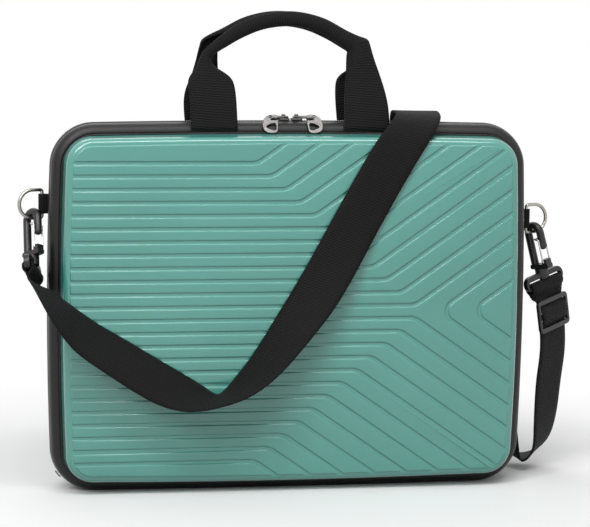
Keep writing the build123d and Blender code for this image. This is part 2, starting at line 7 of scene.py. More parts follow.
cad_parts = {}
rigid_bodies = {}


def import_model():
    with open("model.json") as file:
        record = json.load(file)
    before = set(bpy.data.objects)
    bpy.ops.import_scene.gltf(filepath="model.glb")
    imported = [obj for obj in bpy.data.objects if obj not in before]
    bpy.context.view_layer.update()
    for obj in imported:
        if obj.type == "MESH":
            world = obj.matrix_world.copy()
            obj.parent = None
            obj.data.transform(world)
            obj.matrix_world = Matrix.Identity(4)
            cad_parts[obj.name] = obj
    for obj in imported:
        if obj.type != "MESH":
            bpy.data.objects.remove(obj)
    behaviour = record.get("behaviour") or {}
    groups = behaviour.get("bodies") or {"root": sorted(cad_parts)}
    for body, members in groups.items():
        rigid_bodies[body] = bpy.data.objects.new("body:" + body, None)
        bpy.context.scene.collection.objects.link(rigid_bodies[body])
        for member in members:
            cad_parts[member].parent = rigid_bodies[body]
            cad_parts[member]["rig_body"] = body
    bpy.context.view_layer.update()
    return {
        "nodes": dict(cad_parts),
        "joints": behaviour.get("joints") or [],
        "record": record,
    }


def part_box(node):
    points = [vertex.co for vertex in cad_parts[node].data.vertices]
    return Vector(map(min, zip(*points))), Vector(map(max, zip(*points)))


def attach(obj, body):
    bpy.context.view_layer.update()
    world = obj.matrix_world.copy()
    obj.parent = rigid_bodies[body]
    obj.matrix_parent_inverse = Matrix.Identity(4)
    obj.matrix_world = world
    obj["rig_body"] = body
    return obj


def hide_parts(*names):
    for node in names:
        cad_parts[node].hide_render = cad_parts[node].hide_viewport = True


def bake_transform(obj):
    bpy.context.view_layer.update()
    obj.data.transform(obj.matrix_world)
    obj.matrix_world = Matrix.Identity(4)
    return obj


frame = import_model()
scene = bpy.context.scene
scene.view_settings.view_transform = "Standard"
joints = {joint["name"]: joint for joint in frame["joints"]}
bodies = frame["record"]["behaviour"]["bodies"]
print("frame loaded,", len(frame["nodes"]), "pieces")

# metres, as in the frame: x along the case, y from front to back, z up
shellLow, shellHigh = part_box("front_shell")
case = {
    "halfWidth": (shellHigh.x - shellLow.x) / 2,
    "halfHeight": (shellHigh.z - shellLow.z) / 2,
    "middle": (shellHigh.z + shellLow.z) / 2,
    "rim": -shellHigh.y,          # zip line to the shell's rim
    "ribTop": -shellLow.y,
    "corner": 0.024,
    "cornerCuts": 14,
    "sideCuts": 15,
    "sideBow": 0.0036,            # how far the middle of each side stands out
    "topBow": 0.0024,
    "crown": 0.009,               # side wall's bulge past the shell
    "zipHalf": 0.0032,
    "zipEnd": 0.009,              # height at which the zip stops above the floor
}
weld = 2e-6                       # points nearer than this are one point


def bodyOf(node):
    return next(body for body, nodes in bodies.items() if node in nodes)


def toPiece(bm, name, material, node, smoothAngle=38):
    # the finished piece is seen in place of the solid and moves with its body
    for face in bm.faces:
        face.smooth = True
    for edge in bm.edges:
        if len(edge.link_faces) == 2:
            edge.smooth = edge.calc_face_angle(0) < radians(smoothAngle)
    mesh = bpy.data.meshes.new(name)
    bm.to_mesh(mesh)
    bm.free()
    piece = bpy.data.objects.new(name, mesh)
    scene.collection.objects.link(piece)
    mesh.materials.append(material)
    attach(piece, bodyOf(node))
    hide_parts(node)
    return piece


def copyOf(node):
    # the solid's own mesh with its loose triangles joined
    bm = bmesh.new()
    bm.from_mesh(frame["nodes"][node].data)
    bmesh.ops.remove_doubles(bm, verts=bm.verts, dist=weld)
    return bm


def addSolidify(piece, thickness, offset=-1.0):
    wall = piece.modifiers.new("wall", "SOLIDIFY")
    wall.thickness = thickness
    wall.offset = offset
    wall.use_even_offset = True


def addBevel(piece, width):
    edges = piece.modifiers.new("edges", "BEVEL")
    edges.width = width
    edges.segments = 2
    edges.limit_method = "ANGLE"
    edges.angle_limit = radians(45)


def turnToBack(bm):
    # a piece of the back half is the front half's, turned half round
    bmesh.ops.rotate(bm, verts=bm.verts, cent=(0, 0, 0), matrix=Matrix.Rotation(pi, 3, "Z"))


def cutOff(bm, level, way):
    # takes away what lies above the level (way 1) or below it (way -1)
    bmesh.ops.bisect_plane(bm, geom=list(bm.verts) + list(bm.edges) + list(bm.faces), dist=1e-7,
                           plane_co=(0, 0, level), plane_no=(0, 0, way), clear_outer=True)


def itemsOf(kind, geom):
    return [item for item in geom if isinstance(item, kind)]


# a material on the Principled shader, with short ways to add nodes to it
class Finish:
    def __init__(self, name, colour, roughness, metallic=0.0):
        self.material = bpy.data.materials.new(name)
        self.material.use_nodes = True
        self.tree = self.material.node_tree
        self.shader = self.tree.nodes["Principled BSDF"]
        self.set("Base Color", (*colour, 1))
        self.set("Roughness", roughness)
        self.set("Metallic", metallic)

    def set(self, key, value):
        self.shader.inputs[key].default_value = value

    def node(self, kind, settings=None, **inputs):
        made = self.tree.nodes.new(kind)
        for key, value in (settings or {}).items():
            setattr(made, key, value)
        for key, value in inputs.items():
            self.feed(made, key.replace("_", " "), value)
        return made

    def feed(self, made, key, value):
        socket = made.inputs[int(key)] if key.isdigit() else made.inputs[key]
        if isinstance(value, bpy.types.NodeSocket):
            self.tree.links.new(value, socket)
        else:
            socket.default_value = value

    def math(self, operation, first, second=0.0):
        made = self.node("ShaderNodeMath", {"operation": operation})
        self.feed(made, "0", first)
        self.feed(made, "1", second)
        return made.outputs[0]

    def noise(self, vector, scale, detail=3.0):
        return self.node("ShaderNodeTexNoise", Vector=vector, Scale=scale, Detail=detail).outputs[0]

    def spread(self, value, low, high, **ends):
        made = self.node("ShaderNodeMapRange", Value=value, From_Min=low, From_Max=high, **ends)
        return made.outputs[0]

    def ramp(self, factor, low, high, dark, light):
        made = self.node("ShaderNodeValToRGB", Fac=factor)
        made.color_ramp.elements[0].position = low
        made.color_ramp.elements[1].position = high
        made.color_ramp.elements[0].color = (*dark, 1)
        made.color_ramp.elements[1].color = (*light, 1)
        return made.outputs[0]

    def colour(self, value):
        self.feed(self.shader, "Base Color", value)

    def bump(self, height, strength, distance):
        made = self.node("ShaderNodeBump", Height=height, Strength=strength, Distance=distance)
        self.feed(self.shader, "Normal", made.outputs[0])

    def objectPlace(self):
        return self.node("ShaderNodeTexCoord").outputs["Object"]

    def uvParts(self):
        split = self.node("ShaderNodeSeparateXYZ", Vector=self.node("ShaderNodeUVMap").outputs[0])
        return split.outputs[0], split.outputs[1]

    def wave(self, place, period, shift=0.0):
        turns = self.math("ADD", self.math("MULTIPLY", place, 2 * pi / period), shift)
        return self.math("ADD", self.math("MULTIPLY", self.math("SINE", turns), 0.5), 0.5)

    def plainWeave(self, place, thread):
        # crossing threads on the piece's own place, so that they run evenly round every side
        x, y, z = self.node("ShaderNodeSeparateXYZ", Vector=place).outputs
        across = self.wave(self.math("ADD", x, y), thread)
        upward = self.wave(self.math("ADD", z, y), thread)
        threads = self.math("MULTIPLY", self.math("MULTIPLY", across, upward), 0.7)
        slub = self.math("MULTIPLY", self.noise(place, 70.0, 4.0), 0.5)
        return self.math("ADD", threads, slub)


def makeShellPlastic():
    look = {
        "colour": (0.088, 0.345, 0.290), "deep": (0.078, 0.320, 0.268), "cloud": 9.0,
        "roughness": 0.24, "polished": 0.20, "rubbed": 0.27, "coatRoughness": 0.06,
        "grain": 900.0, "rise": 0.00001,
    }
    finish = Finish("shellPlastic", look["colour"], look["roughness"])
    place = finish.objectPlace()
    cloud = finish.noise(place, look["cloud"], 4.0)
    finish.colour(finish.ramp(cloud, 0.35, 0.65, look["deep"], look["colour"]))
    rubbed = finish.spread(finish.noise(place, 60.0, 5.0), 0.3, 0.7,
                           To_Min=look["polished"], To_Max=look["rubbed"])
    finish.feed(finish.shader, "Roughness", rubbed)
    finish.bump(finish.noise(place, look["grain"], 2.0), 0.03, look["rise"])
    finish.set("Coat Weight", 1.0)
    finish.set("Coat Roughness", look["coatRoughness"])
    return finish.material


def makeWebbing(name, look):
    # u runs along the webbing and v across it, both in metres
    finish = Finish(name, look["top"], look["roughness"])
    u, v = finish.uvParts()
    column = finish.math("FLOOR", finish.math("DIVIDE", v, look["column"]))
    rows = finish.wave(u, look["rib"], finish.math("MULTIPLY", column, look["shift"]))
    cords = finish.wave(v, look["cord"])
    weave = finish.math("ADD", finish.math("MULTIPLY", rows, 0.8),
                        finish.math("MULTIPLY", cords, 0.2))
    fuzz = finish.noise(finish.objectPlace(), 900.0, 4.0)
    # painted shade: darker in the valleys between the ribs and cords, lighter on their tops
    finish.colour(finish.ramp(weave, 0.15, 0.9, look["valleyShade"], look["top"]))
    finish.bump(finish.math("ADD", weave, finish.math("MULTIPLY", fuzz, 0.25)), 0.7, look["rise"])
    finish.set("Sheen Weight", look["sheen"])
    finish.set("Sheen Roughness", 0.5)
    finish.set("Specular IOR Level", 0.2)
    return finish.material


def makeCloth(name, colour, light, thread, sheen, roughness=0.85):
    finish = Finish(name, colour, roughness)
    weave = finish.plainWeave(finish.objectPlace(), thread)
    # painted shade and highlight: darker between the threads, lighter on their raised crossings
    finish.colour(finish.ramp(weave, 0.1, 0.9, colour, light))
    finish.bump(weave, 0.5, 0.0003)
    finish.set("Sheen Weight", sheen)
    finish.set("Specular IOR Level", 0.3)
    return finish.material


def makeWallCloth():
    # black where the wall turns over the edge, greyer on the strip beside the zip: the grey is a
    # painted highlight, where light from above falls on the wall
    look = {
        "edge": (0.0060, 0.0058, 0.0060), "strip": (0.038, 0.035, 0.034), "roughness": 0.42,
        "from": 0.0080, "to": 0.0120, "thread": 0.0011, "threadShade": 0.35,
    }
    finish = Finish("gussetCloth", look["strip"], look["roughness"])
    place = finish.objectPlace()
    weave = finish.plainWeave(place, look["thread"])
    depth = finish.node("ShaderNodeSeparateXYZ", Vector=place).outputs["Y"]
    # painted highlight: greyer beside the zip, turning to black with the depth from the zip line
    turned = finish.spread(finish.math("ABSOLUTE", depth), look["from"], look["to"])
    paintedLitMix = finish.node("ShaderNodeMix", {"data_type": "RGBA"}, Factor=turned)
    finish.feed(paintedLitMix, "6", (*look["strip"], 1))
    finish.feed(paintedLitMix, "7", (*look["edge"], 1))
    # painted shade: darker between the threads, following the weave's height
    paintedThreadShade = finish.node("ShaderNodeMix", {"data_type": "RGBA", "blend_type": "MULTIPLY"},
                       Factor=look["threadShade"])
    finish.feed(paintedThreadShade, "6", paintedLitMix.outputs[2])
    finish.feed(paintedThreadShade, "7", finish.ramp(weave, 0.1, 0.9, (0.4, 0.4, 0.4), (1, 1, 1)))
    finish.colour(paintedThreadShade.outputs[2])
    finish.bump(weave, 0.4, 0.0002)
    finish.set("Specular IOR Level", 0.4)
    return finish.material


def makeMeshCloth():
    look = {"hole": (0.008, 0.008, 0.009), "thread": (0.038, 0.038, 0.040), "cell": 0.0034}
    finish = Finish("meshCloth", (0.030, 0.030, 0.033), 0.8)
    u, v = finish.uvParts()
    net = finish.math("MAXIMUM", finish.wave(finish.math("ADD", u, v), look["cell"]),
                      finish.wave(finish.math("SUBTRACT", u, v), look["cell"]))
    finish.colour(finish.ramp(net, 0.55, 0.85, look["hole"], look["thread"]))
    finish.bump(net, 0.8, 0.0005)
    finish.set("Sheen Weight", 0.1)
    return finish.material


def makePlastic(name, colour, roughness):
    finish = Finish(name, colour, roughness)
    place = finish.objectPlace()
    light = tuple(1.6 * part for part in colour)
    finish.colour(finish.ramp(finish.noise(place, 120.0, 4.0), 0.3, 0.75, colour, light))
    finish.bump(finish.noise(place, 900.0), 0.25, 0.0002)
    return finish.material


def makeMetal(name, colour, roughness):
    finish = Finish(name, colour, roughness, 1.0)
    smear = finish.noise(finish.objectPlace(), 220.0, 5.0)
    finish.feed(finish.shader, "Roughness", finish.spread(
        smear, 0.3, 0.7, To_Min=roughness * 0.7, To_Max=roughness * 1.5))
    dark = tuple(0.8 * part for part in colour)
    finish.colour(finish.ramp(smear, 0.35, 0.6, dark, colour))
    return finish.material


shellPlastic = makeShellPlastic()
webbing = makeWebbing("webbing", {
    "top": (0.0085, 0.0076, 0.0080), "valleyShade": (0.0020, 0.0018, 0.0020), "roughness": 0.75,
    "rib": 0.0021, "column": 0.0078, "shift": 1.9, "cord": 0.0011, "rise": 0.0006, "sheen": 0.015,
})
elasticCloth = makeWebbing("elasticCloth", {
    "top": (0.040, 0.040, 0.043), "valleyShade": (0.012, 0.012, 0.013), "roughness": 0.8,
    "rib": 0.0030, "column": 0.0500, "shift": 0.0, "cord": 0.0016, "rise": 0.0004, "sheen": 0.1,
})
gripCloth = makeCloth("gripCloth", (0.016, 0.016, 0.017), (0.045, 0.045, 0.047), 0.0018, 0.2)
gussetCloth = makeWallCloth()
zipCloth = makeCloth("zipCloth", (0.014, 0.014, 0.016), (0.034, 0.034, 0.037), 0.0007, 0.1)
liningCloth = makeCloth("liningCloth", (0.075, 0.077, 0.082), (0.125, 0.128, 0.136), 0.0016, 0.2)
bindingCloth = makeCloth("bindingCloth", (0.0045, 0.0045, 0.005), (0.010, 0.010, 0.010),
                         0.0012, 0.02, 0.35)
meshCloth = makeMeshCloth()
coilPlastic = makePlastic("coilPlastic", (0.0075, 0.0070, 0.0070), 0.30)
fittingPlastic = makePlastic("fittingPlastic", (0.0095, 0.0092, 0.0095), 0.36)
nickel = makeMetal("nickel", (0.16, 0.150, 0.148), 0.34)
darkNickel = makeMetal("darkNickel", (0.42, 0.40, 0.36), 0.17)
brightWire = makeMetal("brightWire", (0.74, 0.74, 0.75), 0.18)
print("materials made")


def outlineFace(bm, grow, depth):
    # the case's outline as one face at depth in front of the zip line, looking to the front
    before = set(bm.faces)
    made = bmesh.ops.create_grid(bm, x_segments=1, y_segments=1, size=1)
    endX = case["halfWidth"] - case["sideBow"] + grow
    endZ = case["halfHeight"] - case["topBow"] + grow
    for vert in made["verts"]:
        vert.co = Vector((vert.co.x * endX, -depth, vert.co.y * endZ))
    bmesh.ops.bevel(bm, geom=made["verts"], offset=case["corner"] + grow, offset_type="OFFSET",
                    affect="VERTICES", segments=case["cornerCuts"], profile=0.5, material=-1,
                    clamp_overlap=False)
    face = next(iter(set(bm.faces) - before))
    sides = [edge for edge in face.edges if edge.calc_length() > 0.05]
    bmesh.ops.bisect_edges(bm, edges=sides, cuts=case["sideCuts"])
    for vert in face.verts:
        x, z = vert.co.x / endX, vert.co.z / endZ
        vert.co.x += case["sideBow"] * x * (1 - z * z)
        vert.co.z += case["topBow"] * z * (1 - x * x) + case["middle"]
    return face


def stepIn(bm, face, steps):
    # each step: how far in from the edge, and how far out along the way the face looks
    for inward, along in steps:
        bmesh.ops.inset_individual(bm, faces=[face], thickness=max(inward, 1e-6), depth=along,
                                   use_even_offset=True)


def rolledRing(grow, depth, towardFace, towardZip):
    # a band round the case, rolled in at its two rims
    bm = bmesh.new()
    for steps, turned in ((towardFace, False), (towardZip, True)):
        face = outlineFace(bm, grow, depth)
        if turned:
            bmesh.ops.reverse_faces(bm, faces=[face])
        stepIn(bm, face, steps)
        bmesh.ops.delete(bm, geom=[face], context="FACES")
    bmesh.ops.remove_doubles(bm, verts=bm.verts, dist=weld)
    return bm


def standFlat(bm, level=0.0):
    # presses what would go below the level flat on it
    for vert in bm.verts:
        vert.co.z = max(vert.co.z, level)


def arcSteps(radius, count, end=90.0):
    # inset and depth of each step of an arc that starts along the normal
    angles = [radians(end * k / count) for k in range(count + 1)]
    return [(radius * (cos(a) - cos(b)), radius * (sin(b) - sin(a)))
            for a, b in zip(angles, angles[1:])]


shellForm = {
    "ribHeight": 0.0012,
    "panelStep": 0.0008,          # narrow rim round the ribbed panel
    "spread": 0.0010,             # foot of each rib past the solid's edge
    "sunk": 0.00004,              # foot of each rib below the panel
    "shortest": 0.0015,           # outline points nearer than this are joined
    # each rib's soft side, from its foot to its top: inset and height of each step
    "profile": ((0.00016, 0.00006), (0.00018, 0.00022), (0.00016, 0.00040), (0.00022, 0.00026),
                (0.00030, 0.00014), (0.00050, 0.00012), (0.00060, 0.00004)),
}


def pushOut(face, distance):
    # moves a flat face's outline outwards by an even distance
    count = len(face.verts)
    places = [vert.co.copy() for vert in face.verts]
    for k, vert in enumerate(face.verts):
        before = (places[k] - places[k - 1]).normalized().cross(face.normal)
        after = (places[(k + 1) % count] - places[k]).normalized().cross(face.normal)
        vert.co = places[k] + (before + after) * (distance / max(1 + before.dot(after), 0.2))


def makeShell(half):
    node = half + "_shell"
    bm = copyOf(node)
    side = -1 if half == "front" else 1
    ribLevel = side * case["ribTop"]
    faceLevel = side * (case["ribTop"] - shellForm["ribHeight"])

    def atLevel(verts, level):
        return [abs(vert.co.y - level) < 3e-6 for vert in verts]

    # take the ribs' upright sides away, and close the face under them
    sides = [f for f in bm.faces
             if any(atLevel(f.verts, ribLevel)) and not all(atLevel(f.verts, ribLevel))]
    bmesh.ops.delete(bm, geom=sides, context="FACES")
    rims = [e for e in bm.edges if e.is_boundary and all(atLevel(e.verts, faceLevel))]
    bmesh.ops.holes_fill(bm, edges=rims, sides=0)
    panel = [f for f in bm.faces if all(atLevel(f.verts, faceLevel))]
    panel = bmesh.ops.dissolve_faces(bm, faces=panel, use_verts=False)["region"]
    bmesh.ops.inset_individual(bm, faces=panel, thickness=shellForm["panelStep"], depth=0.0,
                               use_even_offset=True)
    # each rib's top becomes one flat face, sinks into the panel and rises from it in soft steps
    tops = [f for f in bm.faces if all(atLevel(f.verts, ribLevel))]
    bmesh.ops.dissolve_faces(bm, faces=tops, use_verts=False)
    verts = [vert for vert in bm.verts if atLevel([vert], ribLevel)[0]]
    bmesh.ops.remove_doubles(bm, verts=verts, dist=shellForm["shortest"])
    drop = faceLevel - ribLevel - side * shellForm["sunk"]
    for rib in [f for f in bm.faces if all(atLevel(f.verts, ribLevel))]:
        rib.normal_update()
        if rib.normal.y * side < 0:
            rib.normal_flip()
        pushOut(rib, shellForm["spread"])
        bmesh.ops.translate(bm, verts=rib.verts, vec=(0, drop, 0))
        stepIn(bm, rib, shellForm["profile"])
    toPiece(bm, half + "ShellRibbed", shellPlastic, node)


for half in ("front", "back"):
    makeShell(half)
print("shells made")

sideWall = {
    "lip": 0.0009,                # rounding beside the zip
    "tuck": (0.0012, -0.0003),    # cloth turned in behind the lip
    "short": 0.0008,              # what the bulge's arc is short of the crown
    "seam": [(0.0006, 0.0001), (0.0006, -0.0003)],
    "hinge": 0.0012,              # thickness of the hinge strip
    "hingeRows": 6,
}


def makeGusset(half):
    crown = case["crown"]
    start = case["rim"] - crown
    toZip = start - case["zipHalf"] - sideWall["lip"]
    steps = [(0, toZip / 2), (0, toZip / 2)] + arcSteps(sideWall["lip"], 4) + [sideWall["tuck"]]
    toFace = arcSteps(crown - sideWall["short"], 9, 80) + sideWall["seam"]
    bm = rolledRing(crown, start, toFace, steps)
    standFlat(bm)
    if half == "back":
        turnToBack(bm)
    toPiece(bm, half + "SideWall", gussetCloth, half + "_gusset")


binding = {"bead": 0.0011, "grow": 0.0013, "clear": 0.0002}


def makeBinding(half):
    bead = arcSteps(binding["bead"], 5)
    bm = rolledRing(binding["grow"], case["rim"] + binding["bead"], bead, bead)
    standFlat(bm, binding["clear"])
    if half == "back":
        turnToBack(bm)
    toPiece(bm, half + "EdgeBinding", bindingCloth, half + "_binding", 60)


lining = {
    "lip": 0.0012, "thickness": 0.003, "start": 0.004, "gap": 0.0021,
    # steps over the lip, into the tray's rounded corner, and to the padded middle
    "over": [(0.0006, 0), (0.0006, -0.0003), (0.0004, -0.0008)],
    "into": [(0.0006, -0.0015), (0.0012, -0.0010), (0.0020, -0.0005)],
    "pillow": [(0.004, 0.0006), (0.006, 0.0003)],
}


def makeLining(half):
    bm = bmesh.new()
    face = outlineFace(bm, -lining["gap"], lining["start"] + lining["lip"])
    bmesh.ops.reverse_faces(bm, faces=[face])
    floorDepth = -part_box("front_liner")[0].y - lining["thickness"]
    bends = sum(along for inward, along in lining["over"] + lining["into"])
    fall = -(floorDepth - lining["start"] + bends) / 5
    stepIn(bm, face, arcSteps(lining["lip"], 4) + lining["over"] + [(0.0004, fall)] * 5
           + lining["into"] + lining["pillow"])
    if half == "back":
        turnToBack(bm)
    toPiece(bm, half + "Lining", liningCloth, half + "_liner")


def makeHingeCloth():
    low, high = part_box("hinge_fabric")
    near, far = low.y, high.y
    bm = bmesh.new()
    face = outlineFace(bm, case["crown"], -near)
    rim = list(face.edges)
    bmesh.ops.delete(bm, geom=[face], context="FACES_ONLY")
    rows = sideWall["hingeRows"]
    for k in range(rows):
        grown = bmesh.ops.extrude_edge_only(bm, edges=rim)["geom"]
        rim = itemsOf(bmesh.types.BMEdge, grown)
        bmesh.ops.translate(bm, verts=itemsOf(bmesh.types.BMVert, grown),
                            vec=(0, (far - near) / rows, 0))
    cutOff(bm, high.z, 1)
    standFlat(bm)
    bmesh.ops.recalc_face_normals(bm, faces=bm.faces)
    if min(bm.faces, key=lambda f: f.calc_center_median().z).normal.z > 0:
        bmesh.ops.reverse_faces(bm, faces=bm.faces)
    bmesh.ops.solidify(bm, geom=list(bm.faces), thickness=sideWall["hinge"])
    piece = toPiece(bm, "hingeCloth", gussetCloth, "hinge_fabric")
    # the strip is taken off its body and left where it is, following neither half as the lid opens
    piece.parent = None
    del piece["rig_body"]
    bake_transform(piece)


for half in ("front", "back"):
    makeGusset(half)
    makeBinding(half)
    makeLining(half)
makeHingeCloth()
print("side walls, bindings and linings made")

zipForm = {
    "pitch": 0.0018, "reach": 0.0027, "wire": 0.00070, "slant": 0.25,
    "grow": 0.0090, "tapeGrow": 0.0078,
    "gap": 0.00015,               # from the zip line to each row of teeth
    "clear": 0.002,               # between the zip's end and its first tooth
    "hem": [(0.0008, 0.0001)], "hemRise": 0.0002,
}


def ringPlaces(grow, pitch):
    # evenly spaced places round the outline, with the way along it
    bm = bmesh.new()
    face = outlineFace(bm, grow, 0)
    corners = [vert.co.copy() for vert in face.verts]
    bm.free()
    corners.append(corners[0])
    places, left = [], 0.0
    for a, b in zip(corners, corners[1:]):
        span = (b - a).length
        along = (b - a).normalized()
        while left < span:
            places.append((a + along * left, along))
            left += pitch
        left -= span
    return places


def makeCoil(half):
    side = -1 if half == "front" else 1
    bm = bmesh.new()
    shift = 0.0 if half == "front" else zipForm["pitch"] / 2
    outward = Vector((0, side * (zipForm["gap"] + zipForm["reach"] / 2), 0))
    for place, along in ringPlaces(zipForm["grow"], zipForm["pitch"]):
        if place.z < case["zipEnd"] + zipForm["clear"]:
            continue
        slanted = Vector((0, 1, 0)) + along * zipForm["slant"]
        turn = Vector((0, 0, 1)).rotation_difference(slanted).to_matrix().to_4x4()
        bmesh.ops.create_cone(
            bm, cap_ends=True, segments=6, radius1=zipForm["wire"], radius2=zipForm["wire"],
            depth=zipForm["reach"],
            matrix=Matrix.Translation(place + along * shift + outward) @ turn)
    toPiece(bm, half + "ZipCoil", coilPlastic, "zip_teeth_" + half, 50)


def makeTape(half):
    run = (zipForm["reach"] + case["zipHalf"]) / 2
    steps = [(0, run - zipForm["hemRise"])] + zipForm["hem"]
    bm = rolledRing(zipForm["tapeGrow"], run + zipForm["gap"], steps, steps)
    cutOff(bm, case["zipEnd"], -1)
    if half == "back":
        turnToBack(bm)
    toPiece(bm, half + "ZipTape", zipCloth, "zip_tape_" + half)


for half in ("front", "back"):
    makeTape(half)
    makeCoil(half)
print("zip made")


def smoothLine(points):
    # the places along one smooth curve that follows the points
    curve = bpy.data.curves.new("route", "CURVE")
    curve.dimensions = "3D"
    curve.resolution_u = 8
    spline = curve.splines.new("NURBS")
    spline.points.add(len(points) - 1)
    for k, point in enumerate(points):
        spline.points[k].co = (*point, 1)
    spline.order_u = 3
    spline.use_endpoint_u = True
    holder = bpy.data.objects.new("route", curve)
    mesh = bpy.data.meshes.new_from_object(holder)
    places = [vert.co.copy() for vert in mesh.vertices]
    bpy.data.objects.remove(holder)
    bpy.data.curves.remove(curve)
    bpy.data.meshes.remove(mesh)
    return places


def makeBand(name, route, width, thickness, material, node, columns=8, section=None, rolls=None):
    # route: places on the middle line, each with the way across the band
    half = width / 2
    middles = smoothLine([Vector(place) for place, across in route])
    edges = smoothLine([Vector(place) + Vector(across).normalized() * width / 2
                        for place, across in route])
    rollLine = smoothLine([Vector((roll, 0, 0)) for roll in rolls]) if rolls else None
    last = len(middles) - 1
    lengths = [0.0]
    for a, b in zip(middles, middles[1:]):
        lengths.append(lengths[-1] + (b - a).length)
    bm = bmesh.new()
    bmesh.ops.create_grid(bm, x_segments=last, y_segments=columns, size=1)
    weave = bm.loops.layers.uv.new("UVMap")

    def rowOf(vert):
        return round((vert.co.x + 1) / 2 * last)

    for face in bm.faces:
        for loop in face.loops:
            loop[weave].uv = (lengths[rowOf(loop.vert)], loop.vert.co.y * half)
    for vert in bm.verts:
        i, share = rowOf(vert), vert.co.y
        across = (edges[i] - middles[i]).normalized()
        travel = (middles[min(i + 1, last)] - middles[max(i - 1, 0)]).normalized()
        rise = travel.cross(across).normalized()
        x, y = section(share, rollLine[i].x) if section else (share, 0.0)
        vert.co = middles[i] + across * x * half + rise * y * half
    addSolidify(toPiece(bm, name, material, node, 60), thickness, 0.0)


strapForm = {
    "width": 0.038, "thickness": 0.0016, "gap": 0.0003,
    "tail": 0.003,                # sewn length below each lower loop
}
loopForm = {"height": 0.013, "thickness": 0.005, "slot": 0.0046, "slotDrop": 0.0004,
            "facing": {"left": 76.0, "right": 31.5}}
slideForm = {"height": 0.028, "thickness": 0.003, "bar": 0.006, "slot": 0.007, "facing": 42.0,
             "offset": (0.0095, 0.0008, -0.029), "lean": (-0.15, -0.03, 0.99)}


def fittingFrame(origin, upward, facing):
    # x across the fitting, y up its long axis, z out of its face
    up = Vector(upward).normalized()
    along = Vector((cos(radians(facing)), sin(radians(facing)), 0))
    along = (along - up * up.dot(along)).normalized()
    turn = Matrix((along, up, along.cross(up))).transposed().to_4x4()
    return Matrix.Translation(Vector(origin)) @ turn


def loopFrame(word):
    joint = joints["swivel_" + word]
    return fittingFrame(joint["pos_m"], joint["axis"], loopForm["facing"][word])


def slideFrame():
    origin = Vector(joints["swivel_right"]["pos_m"]) + Vector(slideForm["offset"])
    return fittingFrame(origin, slideForm["lean"], slideForm["facing"])


def placeIn(matrix, x, y, z):
    return matrix @ Vector((x, y, z)), matrix.to_3x3() @ Vector((1, 0, 0))


# the strap's middle line with the way across it, from the left hook over the front to its top
strapFront = [
    ((-0.2070, -0.0280, 0.1735), (0.42, 0.86, -0.28)),
    ((-0.2030, -0.0365, 0.1695), (0.45, 0.87, -0.20)),
    ((-0.1990, -0.0440, 0.1645), (0.47, 0.88, -0.10)),
    ((-0.1935, -0.0510, 0.1580), (0.49, 0.87, 0.05)),
    ((-0.1875, -0.0515, 0.1510), (0.51, 0.84, 0.17)),
    ((-0.1795, -0.0502, 0.1420), (0.53, 0.78, 0.32)),
    ((-0.1680, -0.0492, 0.1315), (0.53, 0.70, 0.47)),
    ((-0.1516, -0.0485, 0.1209), (0.47, 0.67, 0.57)),
    ((-0.1245, -0.0475, 0.1031), (0.49, 0.61, 0.62)),
    ((-0.1040, -0.0475, 0.0910), (0.53, 0.62, 0.58)),
    ((-0.0875, -0.0502, 0.0840), (0.48, 0.76, 0.43)),
    ((-0.0740, -0.0539, 0.0810), (0.30, 0.93, 0.20)),
    ((-0.0630, -0.0550, 0.0817), (0.03, 1.00, 0.03)),
    ((-0.0520, -0.0547, 0.0865), (-0.23, 0.97, 0.04)),
    ((-0.0400, -0.0532, 0.0955), (-0.43, 0.89, 0.10)),
    ((-0.0250, -0.0510, 0.1100), (-0.60, 0.79, 0.12)),
    ((-0.0060, -0.0475, 0.1345), (-0.72, 0.66, 0.20)),
    ((0.0200, -0.0410, 0.1700), (-0.87, 0.30, 0.38)),
    ((0.0470, -0.0360, 0.2190), (-0.90, 0.00, 0.44)),
    ((0.0710, -0.0360, 0.2630), (-0.90, 0.00, 0.44)),
    ((0.0840, -0.0360, 0.2850), (-0.93, 0.00, 0.36)),
    ((0.0950, -0.0330, 0.3000), (-0.97, 0.05, 0.20)),
    ((0.1030, -0.0220, 0.3090), (-0.99, 0.00, 0.10)),
    ((0.1045, -0.0080, 0.3120), (-1.00, 0.00, 0.05)),
]
# and from its top down behind the case to the slide on the right
strapBehind = [
    ((0.1050, 0.0080, 0.3120), (-1.00, 0.00, 0.00)),
    ((0.1070, 0.0220, 0.3085), (-1.00, 0.00, -0.04)),
    ((0.1090, 0.0330, 0.2990), (-0.99, 0.00, -0.12)),
    ((0.1120, 0.0370, 0.2860), (-0.98, 0.00, -0.20)),
    ((0.1300, 0.0375, 0.2320), (-0.95, 0.00, -0.31)),
    ((0.1520, 0.0380, 0.1660), (-0.95, 0.00, -0.31)),
    ((0.1720, 0.0390, 0.1040), (-0.94, 0.05, -0.32)),
    ((0.1860, 0.0420, 0.0600), (-0.88, 0.35, -0.30)),
    ((0.1960, 0.0440, 0.0260), (-0.55, 0.80, -0.20)),
    ((0.2060, 0.0430, 0.0090), (-0.10, 0.99, 0.05)),
    ((0.2190, 0.0370, 0.0095), (0.25, 0.95, -0.10)),
    ((0.2290, 0.0310, 0.0220), (0.55, 0.83, 0.00)),
    ((0.2305, 0.0250, 0.0460), (0.70, 0.71, 0.03)),
    ((0.2305, 0.0190, 0.0800), (0.745, 0.667, 0.00)),
    ((0.2325, 0.0150, 0.1050), (0.745, 0.667, 0.00)),
]


def strapStart(word, beyond):
    depth = loopForm["height"] / 2 + strapForm["gap"] + strapForm["thickness"] + strapForm["tail"]
    return placeIn(loopFrame(word), 0, -depth - beyond, 0)


